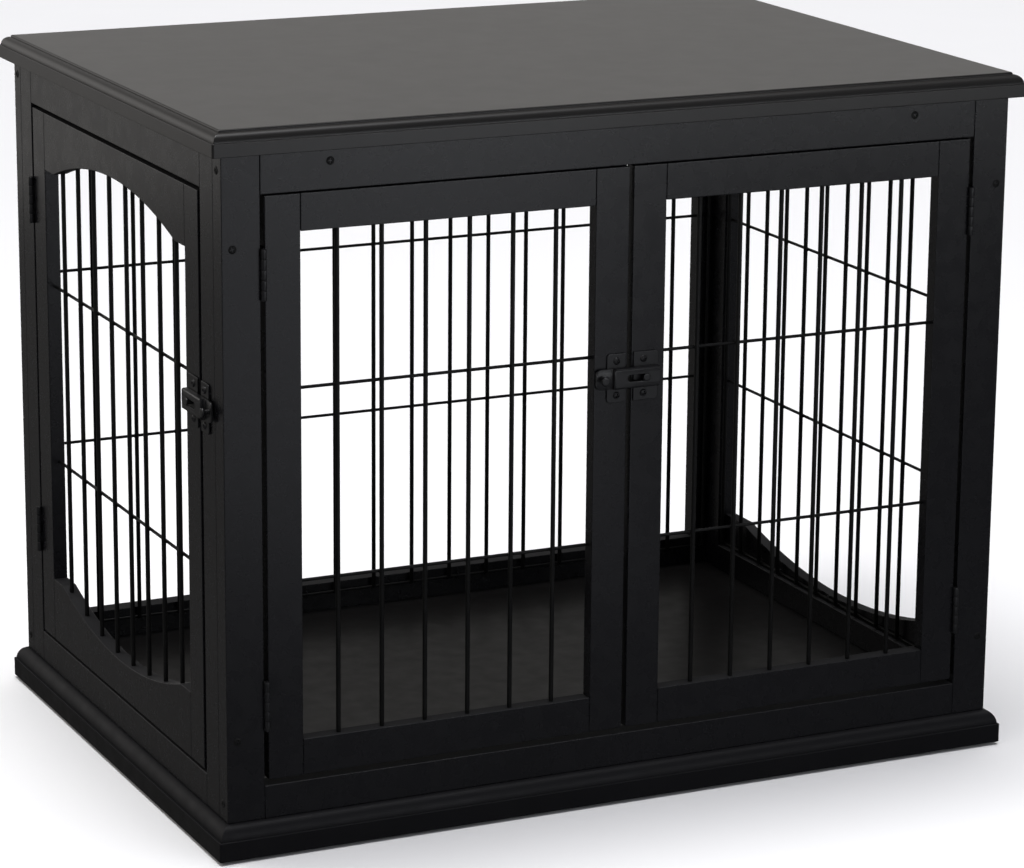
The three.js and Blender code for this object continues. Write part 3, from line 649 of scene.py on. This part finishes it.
# A staple over a wire: a bridge of thin wire with both legs driven into the board.
def stapleSheet(across, height, depth):
    crown = depth + (wires["cross"] + staples["wire"]) / 2
    bend = np.array([
        [-1, -staples["leg"]], [-1, -0.6], [-0.8, -0.2], [-0.6, 0],
        [0.6, 0], [0.8, -0.2], [1, -0.6], [1, -staples["leg"]],
    ])
    side, out = bend[:, 0] * staples["width"] / 2, crown + bend[:, 1]
    path = np.column_stack([np.full(len(bend), across), out, height + side])
    return bentWireSheet(path, (1, 0, 0), staples["wire"])


for node in ("back_grille", "right_side_grille"):
    row, grille = staples[node], fixedGrilles[node]
    places = [(x, z) for z in grille["ends"] for x in row["across"]]
    places += [(x, z) for z in wires["crossHeights"] for x in row["beside"]]
    sheets = [stapleSheet(x + row["shift"], z, crossDepths[node]) for x, z in places]
    makePiece(row["piece"], sheets, grille["wall"], "root", "black_steel")
print("grilles made")

screwHeads = {
    "frame": {"radius": 3.8, "dome": 0.8, "recess": 1.1, "slotHalf": 0.55, "slotLong": 1.9},
    "latch": {"radius": 3.5, "dome": 1.6, "recess": 1.5, "slotHalf": 0.6, "slotLong": 2.0},
    "hinge": {"radius": 2.6, "dome": 0.16, "recess": 0.5, "slotHalf": 0.45, "slotLong": 1.5},
}


# A screw head: height falls off as a dome from the middle, and a cross of two grooves is sunk in it.
def screwSheet(across, height, surface, head, turn=0.3, rings=12, sides=40):
    radius = np.linspace(0, head["radius"], rings)[:, None]
    angle = np.linspace(0, 2 * math.pi, sides, endpoint=False)[None, :]
    u, v = radius * np.cos(angle - turn), radius * np.sin(angle - turn)

    def groove(a, b):
        wall = np.clip((head["slotHalf"] - np.abs(a)) / 0.25 + 0.5, 0, 1)
        return wall * np.clip((head["slotLong"] - np.abs(b)) / 0.4 + 0.5, 0, 1)
    sunk = head["recess"] * np.maximum(groove(u, v), groove(v, u))
    out = surface + head["dome"] * np.sqrt(np.maximum(1 - (radius / head["radius"]) ** 2, 0)) - sunk
    x, z = across + radius * np.cos(angle), height + radius * np.sin(angle)
    face = np.stack([x, -out * np.ones_like(x), z], axis=-1)
    rim = face[-1:].copy()
    rim[..., 1] = 0.4 - surface
    foot = rim.copy()
    foot[..., 0], foot[..., 2] = across, height
    return gridSheet(np.concatenate([face, rim, foot]))


frameScrewProud = 0.05
frameScrews = {
    # (across, height)
    "front": [(-383, 555), (-383, 110), (383, 555), (383, 110), (-292, 626), (292, 626)],
    "left": [(269.5, 623), (269.5, 50), (-271.5, 623), (-271.5, 50)],
    "right": [(-269.5, 623), (-269.5, 50), (271.5, 623), (271.5, 50)],
    "back": [(-383, 555), (-383, 110), (383, 555), (383, 110)],
}
for wall, places in frameScrews.items():
    heads = [screwSheet(x, z, frameScrewProud, screwHeads["frame"], turn=0.3 + 0.7 * k)
             for k, (x, z) in enumerate(places)]
    makePiece(wall + "_frame_screws", heads, wall, "root", "coated_wire")
print("screws made")

hinges = {
    "height": 46, "radius": 2.6, "proud": 2.4, "leaf": 1.3, "leafDepth": 14, "pin": 1.2, "bore": 1.5,
    "knuckles": 5, "play": 0.3, "gap": 4.3, "notch": 0.7, "screwHeights": (-15, 0, 15), "screwDepth": 8,
    "pinShort": 1, "leafRounding": 0.3, "armRounding": 0.2, "knuckleRounding": 0.35,
}
hingePlaces = [
    # door, wall, centre of its gap, the door's side of the gap, heights of the lower and upper hinge
    ("left_door", "front", -355.35, 1, (140, 531)),
    ("right_door", "front", 355.35, -1, (140, 531)),
    ("side_door", "left", -229.05, 1, (173, 506)),
]


# A knuckle: a ring section, eased at its ends, turned about the pin. A bore of 0 makes it solid.
def knuckleSheet(gapCentre, low, high, bore, sides=32):
    r, soft = hinges["radius"], hinges["knuckleRounding"]
    outside = np.concatenate([
        arcPoints((r - soft, low + soft), (soft, soft), 270, 360, 4),
        arcPoints((r - soft, high - soft), (soft, soft), 0, 90, 4),
    ])
    profile = np.concatenate([[[bore, low]], outside, [[bore, high]]])
    angle = np.linspace(0, 2 * math.pi, sides, endpoint=False)
    x = gapCentre + profile[:, :1] * np.cos(angle)
    depth = -hinges["proud"] + profile[:, :1] * np.sin(angle)
    points = np.stack([x, depth, np.broadcast_to(profile[:, 1:], x.shape)], axis=-1)
    return gridSheet(points, closedAlong=bore > 0)


# Countersunk heads on the leaf's inner face, which is seen only when the door stands open.
def leafScrews(face, side, height):
    sheets = []
    for k, rise in enumerate(hinges["screwHeights"]):
        head = screwSheet(hinges["screwDepth"], height + rise, 0, screwHeads["hinge"], turn=0.5 + k, sides=28)
        points, quads = head
        sheets.append((np.column_stack([face + side * points[:, 1], points[:, 0], points[:, 2]]), quads))
    return sheets


def makeHinge(name, wall, doorBody, gapCentre, side, height):
    low, high = height - hinges["height"] / 2, height + hinges["height"] / 2
    knuckle = hinges["height"] / hinges["knuckles"]
    outer = hinges["gap"] / 2 - boards["fit"]
    inner = outer - hinges["leaf"]

    def leafSheets(sign, own):
        edges = sorted((gapCentre + sign * inner, gapCentre + sign * outer))
        plate = plainSection(*edges, hinges["notch"], hinges["leafDepth"])
        sheets = [boardSheet(low, high, plate, hinges["leafRounding"], steps=2, upright=True)]
        for k in range(own, hinges["knuckles"], 2):
            ends = (low + k * knuckle + hinges["play"] / 2, low + (k + 1) * knuckle - hinges["play"] / 2)
            arm = plainSection(*edges, -hinges["proud"], hinges["notch"] + 1)
            sheets.append(boardSheet(*ends, arm, hinges["armRounding"], steps=2, upright=True))
            sheets.append(knuckleSheet(gapCentre, *ends, hinges["bore"] if own else 0.0))
        return sheets + leafScrews(gapCentre + sign * inner, sign, height)
    out, short = -hinges["proud"], hinges["pinShort"]
    pin = rodSheet((gapCentre, out, low + short), (gapCentre, out, high - short), 2 * hinges["pin"])
    makePiece(name + "_frame_leaf_steel", leafSheets(-side, 0) + [pin], wall, "root", "black_steel",
              (name + "_frame_leaf",))
    makePiece(name + "_door_leaf_steel", leafSheets(side, 1), wall, doorBody, "black_steel",
              (name + "_door_leaf",))


for door, wall, gapCentre, side, heights in hingePlaces:
    for level, height in zip(("lower", "upper"), heights):
        makeHinge(f"{door}_{level}_hinge", wall, door, gapCentre, side, height)
print("hinges made")

latch = {
    "half": 22.75, "under": 0.3, "over": 1.8, "keeper": (-23.1, -4.4), "plate": (3.7, 28.6),
    "outerCorner": 3.5, "innerCorner": 1.6, "screws": (-13.5, 13.8), "screwRise": 16,
    "halfBar": 9.5, "metal": 1.6, "barUnder": 2.2, "barOver": 8.0, "bend": 2.0,
    "tabEnd": -35, "step": -18.5, "barEnd": 27.3, "tabCorner": 5.0,
    "slot": (-5.1, 17.6), "slotHalf": 3.1, "pin": 13.9, "pinNeck": 2.6, "pinHead": 3.6, "pinTop": 9.6,
    "knob": -28.2, "knobNeck": 2.5, "knobHead": 4.3, "knobTop": 11.2, "webHalf": 5, "rimEase": 0.2,
    "pinRounding": 0.7, "pinFlat": 1.6, "pinFoot": 1, "pinPlay": 0.3, "barSharpAngle": 50,
}


# A flat plate: rounded outlines stacked from its underside to its face, each drawn in by the easing.
def plateSheet(left, right, bottom, top, radii, under, over, ease=0.45, steps=5):
    turn = np.linspace(0, quarter, 4)
    insets = np.concatenate([[ease + 0.4], [ease], ease * (1 - np.sin(turn[1:])), [0],
                             ease * (1 - np.cos(turn))[1:], [ease + 0.4]])
    outs = np.concatenate([[under, under], under + ease * (1 - np.cos(turn[1:])), [over - ease],
                           over - ease * (1 - np.sin(turn))[1:], [over]])
    x, z = [], []
    spots = ((right, top, radii[2], -1, -1), (left, top, radii[3], 1, -1),
             (left, bottom, radii[0], 1, 1), (right, bottom, radii[1], -1, 1))
    for corner, (cornerX, cornerZ, radius, inX, inZ) in enumerate(spots):
        angle = corner * quarter + np.linspace(0, quarter, steps + 1)
        size = np.maximum(radius - insets, 0.05)[:, None]
        extra = np.maximum(insets - radius + 0.05, 0)[:, None]
        x.append(cornerX + inX * (radius + extra) + size * np.cos(angle))
        z.append(cornerZ + inZ * (radius + extra) + size * np.sin(angle))
    x, z = np.concatenate(x, axis=1), np.concatenate(z, axis=1)
    grid = np.stack([x, np.broadcast_to(-outs[:, None], x.shape), z], axis=-1)
    middle = np.array([(left + right) / 2, 0, (bottom + top) / 2])
    caps = [np.broadcast_to(middle - (0, out, 0), (1, x.shape[1], 3)) for out in (under, over)]
    return gridSheet(np.concatenate([caps[0], grid, caps[1]]))


# Sheet metal: an outer and an inner line of the same number of points are carried across a half width
# that may change along them, and at both sides the two lines meet, which closes the edges.
def foldedSheet(outerLine, innerLine, halfWidth, centre):
    loop = np.concatenate([outerLine, innerLine[::-1]])
    middle = (outerLine + innerLine) / 2
    middle = np.concatenate([middle, middle[::-1]])
    width = np.concatenate([halfWidth, halfWidth[::-1]])
    rows = [(-1, 0, 1), (-1, 0, 0.15), (-1, 0.2, 0), (0, 0, 0), (1, 0.2, 0), (1, 0, 0.15), (1, 0, 1)]
    sheets = []
    for side, back, toMiddle in rows:
        line = loop + (middle - loop) * toMiddle
        sheets.append(np.column_stack([line[:, 0], -line[:, 1], centre + side * (width - back)]))
    return gridSheet(np.stack(sheets))


# The bar's tab, step and bend, seen from its edge as (offset along the bar, distance out).
def tabSheet(height):
    under, over, metal, step = latch["barUnder"], latch["barOver"], latch["metal"], latch["step"]
    top = under + metal
    tab = latch["tabEnd"] + latch["tabCorner"] * (1 - np.cos(np.linspace(0.12, quarter, 7)))
    tab = np.concatenate([tab, np.linspace(tab[-1] + 1, step - 1.4, 6)])
    outer = np.concatenate([
        np.column_stack([tab, np.full(len(tab), top)]),
        arcPoints((step - 0.8, top + 0.8), (0.8, 0.8), 270, 360, 5), [[step, 6.0]],
        arcPoints((step + 1.2, over - 1.2), (1.2, 1.2), 180, 90, 5), [[step + metal, over]],
    ])
    inner = np.concatenate([
        np.column_stack([tab, np.full(len(tab), under)]),
        arcPoints((step + metal - 0.8, under + 0.8), (0.8, 0.8), 270, 360, 5), [[step + metal, 5.0]],
        np.column_stack([np.full(6, step + metal), np.linspace(5.6, over - metal, 6)]),
    ])
    plan = np.minimum(outer[:, 0] - latch["tabEnd"], latch["tabCorner"])
    corner = latch["tabCorner"] - np.sqrt(latch["tabCorner"] ** 2 - (latch["tabCorner"] - plan) ** 2)
    rise = np.clip(outer[:, 1] - (over - latch["bend"]), 0, latch["bend"])
    fold = latch["bend"] - np.sqrt(latch["bend"] ** 2 - rise ** 2)
    return foldedSheet(outer, inner, latch["halfBar"] - corner - fold, height)


# One long side of the bar: from the web over the bend and down the flange, carried along the bar.
def flangeSheet(height, up):
    half, over, bend, metal = latch["halfBar"], latch["barOver"], latch["bend"], latch["metal"]
    rim = latch["barUnder"] + latch["rimEase"]
    small = bend - metal
    outer = np.concatenate([
        [[latch["webHalf"], over], [half - bend - edgeHold, over]],
        arcPoints((half - bend, over - bend), (bend, bend), 90, 0, 7),
        [[half, over - bend - edgeHold], [half, rim]],
    ])
    inner = np.concatenate([
        [[latch["webHalf"], over - metal], [half - bend - edgeHold, over - metal]],
        arcPoints((half - bend, over - bend), (small, small), 90, 0, 7),
        [[half - metal, over - bend - edgeHold], [half - metal, rim]],
    ])
    loop = np.concatenate([outer, innerTip(outer, inner), inner[::-1]])
    middle = (outer + inner) / 2
    middle = np.concatenate([middle, [middle[-1]], middle[::-1]])
    left, right = latch["step"] + metal, latch["barEnd"]
    rows = []
    ends = ((left, 1), (left, 0), (right - 0.3, 0), (right - 0.08, 0.12), (right, 0.4), (right, 1))
    for place, toMiddle in ends:
        line = loop + (middle - loop) * toMiddle
        rows.append(np.column_stack([np.full(len(line), place), -line[:, 1], height + up * line[:, 0]]))
    return gridSheet(np.stack(rows))


# The flange's rim is a half round between the two lines' ends.
def innerTip(outer, inner):
    return [[(outer[-1, 0] + inner[-1, 0]) / 2, outer[-1, 1] - latch["rimEase"]]]


# The web between the bends: a ring section carried round the slot, out to the web's straight sides.
def webSheet(height):
    over, metal, slotHalf = latch["barOver"], latch["metal"], latch["slotHalf"]
    left, right = latch["step"] + metal, latch["barEnd"]
    middle, reach = sum(latch["slot"]) / 2, (latch["slot"][1] - latch["slot"][0]) / 2 - slotHalf
    angle = np.linspace(0, 2 * math.pi, 64, endpoint=False) + math.pi / 64

    def stadium(grow):
        return np.column_stack([middle + np.sign(np.cos(angle)) * reach + (slotHalf + grow) * np.cos(angle),
                                (slotHalf + grow) * np.sin(angle)])
    away = stadium(0) - (middle, 0)
    limitX = np.where(away[:, 0] > 0, right - middle, middle - left)
    limitY = latch["webHalf"] / np.maximum(np.abs(away[:, 1]), 1e-6)
    edge = away * np.minimum(limitX / np.abs(away[:, 0]), limitY)[:, None] + (middle, 0)
    rows = [
        (edge, over), (stadium(0.8), over), (stadium(0.3), over), (stadium(0.09), over - 0.09),
        (stadium(0), over - 0.3), (stadium(0), over - metal + 0.2), (stadium(0.2), over - metal),
        (edge, over - metal),
    ]
    grid = [np.column_stack([line[:, 0], np.full(len(line), -out), height + line[:, 1]])
            for line, out in rows]
    return gridSheet(np.stack(grid), closedAlong=True)


def mirrored(sheets, gapCentre, side):
    flip = np.array([side, 1, 1])
    return [(points * flip + (gapCentre, 0, 0), quads) for points, quads in sheets]


def makeLatch(name, wall, keeperBody, doorBody, gapCentre, side, height):
    def makeSteel(part, sheets, body, sharpAngle=38):
        makePiece(f"{name}_{part}_steel", mirrored(sheets, gapCentre, side), wall, body, "black_steel",
                  (f"{name}_{part}",), sharpAngle)
    outer, inner = latch["outerCorner"], latch["innerCorner"]
    spans = (height - latch["half"], height + latch["half"])
    thick = (latch["under"], latch["over"])
    keeper = plateSheet(*latch["keeper"], *spans, (outer, inner, inner, outer), *thick)
    makeSteel("keeper", [keeper], keeperBody)

    neck, head, pinTop, soft = latch["pinNeck"], latch["pinHead"], latch["pinTop"], latch["pinRounding"]
    under, foot, rim = latch["barOver"] + latch["pinPlay"], latch["pinFoot"], latch["rimEase"]
    pinProfile = np.concatenate([
        [[0, foot], [neck, foot], [neck, under], [head - rim, under], [head, under + rim]],
        arcPoints((head - soft, pinTop - soft), (soft, soft), 0, 80, 5),
        [[head - latch["pinFlat"], pinTop], [0, pinTop]],
    ])
    plate = plateSheet(*latch["plate"], *spans, (inner, outer, outer, inner), *thick)
    makeSteel("plate", [plate, studSheet(latch["pin"], height, pinProfile)], doorBody)

    neck, head, knobTop = latch["knobNeck"], latch["knobHead"], latch["knobTop"]
    knobProfile = np.concatenate([
        [[0, 2.6], [neck, 2.6], [neck, knobTop - 3.6], [head - 0.5, knobTop - 2.9]],
        arcPoints((head - 1.1, knobTop - 1.3), (1.1, 1.3), -20, 85, 8), [[1.6, knobTop], [0, knobTop]],
    ])
    bar = [tabSheet(height), flangeSheet(height, 1), flangeSheet(height, -1), webSheet(height)]
    bar.append(studSheet(latch["knob"], height, knobProfile))
    makeSteel("bar", bar, name, latch["barSharpAngle"])

    for part, body, offset in zip(("keeper", "plate"), (keeperBody, doorBody), latch["screws"]):
        heads = [screwSheet(offset, height + rise, latch["over"], screwHeads["latch"], turn=0.4 + 0.05 * rise)
                 for rise in (-latch["screwRise"], latch["screwRise"])]
        makePiece(f"{name}_{part}_screws", mirrored(heads, gapCentre, side), wall, body, "black_steel")


makeLatch("front_latch", "front", "left_door", "right_door", 0, 1, 406)
makeLatch("side_latch", "left", "root", "side_door", 226.2, -1, 407)
print("latches made")

studio = {
    "floorSize": 60, "floorTone": 0.94, "coolFront": (0.90, 0.92, 1.0), "warmBack": (1.0, 0.975, 0.95),
    # (height looked to, brightness), from straight down to straight up, before the table and behind it
    "front": ((-1, 0.07), (-0.35, 0.105), (-0.02, 0.16), (0.1, 0.2), (0.90, 0.22), (0.95, 4.5), (1, 8)),
    "back": ((-1, 0.04), (-0.35, 0.095), (-0.05, 0.15), (0.02, 0.56), (0.28, 0.56), (0.37, 0.16),
             (0.90, 0.20), (0.95, 4.5), (1, 8)),
    "fadeReach": 0.6,
    "lights": [
        # place, aim, width and height in metres, power in watts, colour
        ((-2.3, -0.9, 1.9), (-0.4, 0, 0.5), (1.1, 1.1), 9, (1.0, 0.95, 0.90)),
        ((0.80, -1.95, 0.50), (0, -0.3, 0.60), (1.3, 0.12), 3, (0.95, 0.97, 1.0)),
        ((-0.5, 0.2, 2.7), (-0.1, 0, 0.6), (0.7, 0.7), 20, (1.0, 1.0, 1.0)),
        ((0.12, -1.30, 0.38), (-0.30, -0.3, 0.45), (0.65, 0.85), 1.0, (0.92, 0.94, 1.0)),
        ((-0.95, 1.05, 0.70), (-0.4, 0, 0.6), (0.8, 0.8), 0.6, (1.0, 0.97, 0.94)),
    ],
}


def makeStudio(size):
    half = size["floorSize"] / 2
    ticks = np.linspace(-half, half, 9)
    x, y = np.meshgrid(ticks, ticks, indexing="ij")
    points, quads = gridSheet(np.stack([x, y, np.zeros_like(x)], axis=-1), closedAround=False)
    mesh = bpy.data.meshes.new("floor")
    mesh.from_pydata(points, [], quads)
    material, tree, shader = newMaterial("paleFloor")
    shader.inputs["Roughness"].default_value = 0.9
    shader.inputs["Specular IOR Level"].default_value = 0.1
    tone = size["floorTone"]
    cloudyTones(tree, shader, (tone,) * 3, (tone * 0.99,) * 3, 3)
    mesh.materials.append(material)
    floor = bpy.data.objects.new("floor", mesh)
    bpy.context.scene.collection.objects.link(floor)
    floor.visible_glossy = False      # the paint's gloss shows the surround, not the floor

    # The surround's brightness follows a table of the height looked to. One table is for what lies
    # before the table and one for what lies behind it, cool and warm, and they fade into each other.
    world = bpy.data.worlds.new("studio")
    world.use_nodes = True
    tree = world.node_tree
    look = tree.nodes.new("ShaderNodeTexCoord")
    parts = tree.nodes.new("ShaderNodeSeparateXYZ")
    both = tree.nodes.new("ShaderNodeMix")
    both.data_type = "RGBA"
    tree.links.new(look.outputs["Generated"], parts.inputs["Vector"])
    heights = ranged(tree, parts.outputs["Z"], -1, 1)
    fade = ranged(tree, parts.outputs["Y"], -size["fadeReach"], size["fadeReach"])
    tree.links.new(fade, both.inputs["Factor"])
    brightest = max(value for table in (size["front"], size["back"]) for height, value in table)
    for table, tint, side in ((size["front"], size["coolFront"], "A"), (size["back"], size["warmBack"], "B")):
        ramp = tree.nodes.new("ShaderNodeValToRGB")
        while len(ramp.color_ramp.elements) < len(table):
            ramp.color_ramp.elements.new(0.5)
        for stop, (height, value) in zip(ramp.color_ramp.elements, table):
            stop.position = (height + 1) / 2
            stop.color = (*[value / brightest * part for part in tint], 1)
        tree.links.new(heights, ramp.inputs["Fac"])
        tree.links.new(ramp.outputs["Color"], both.inputs[side])
    tree.links.new(both.outputs["Result"], tree.nodes["Background"].inputs["Color"])
    tree.nodes["Background"].inputs["Strength"].default_value = brightest
    bpy.context.scene.world = world
    for number, (place, aim, width, power, colour) in enumerate(size["lights"]):
        light = bpy.data.lights.new(f"softbox{number}", "AREA")
        light.shape = "RECTANGLE"
        light.size, light.size_y = width
        light.energy = power
        light.color = colour
        lamp = bpy.data.objects.new(f"softbox{number}", light)
        bpy.context.scene.collection.objects.link(lamp)
        away = np.array(place) - np.array(aim)
        lamp.location = place
        lamp.rotation_euler = (math.acos(away[2] / np.linalg.norm(away)), 0, math.atan2(away[0], -away[1]))


makeStudio(studio)
print("floor and light made")
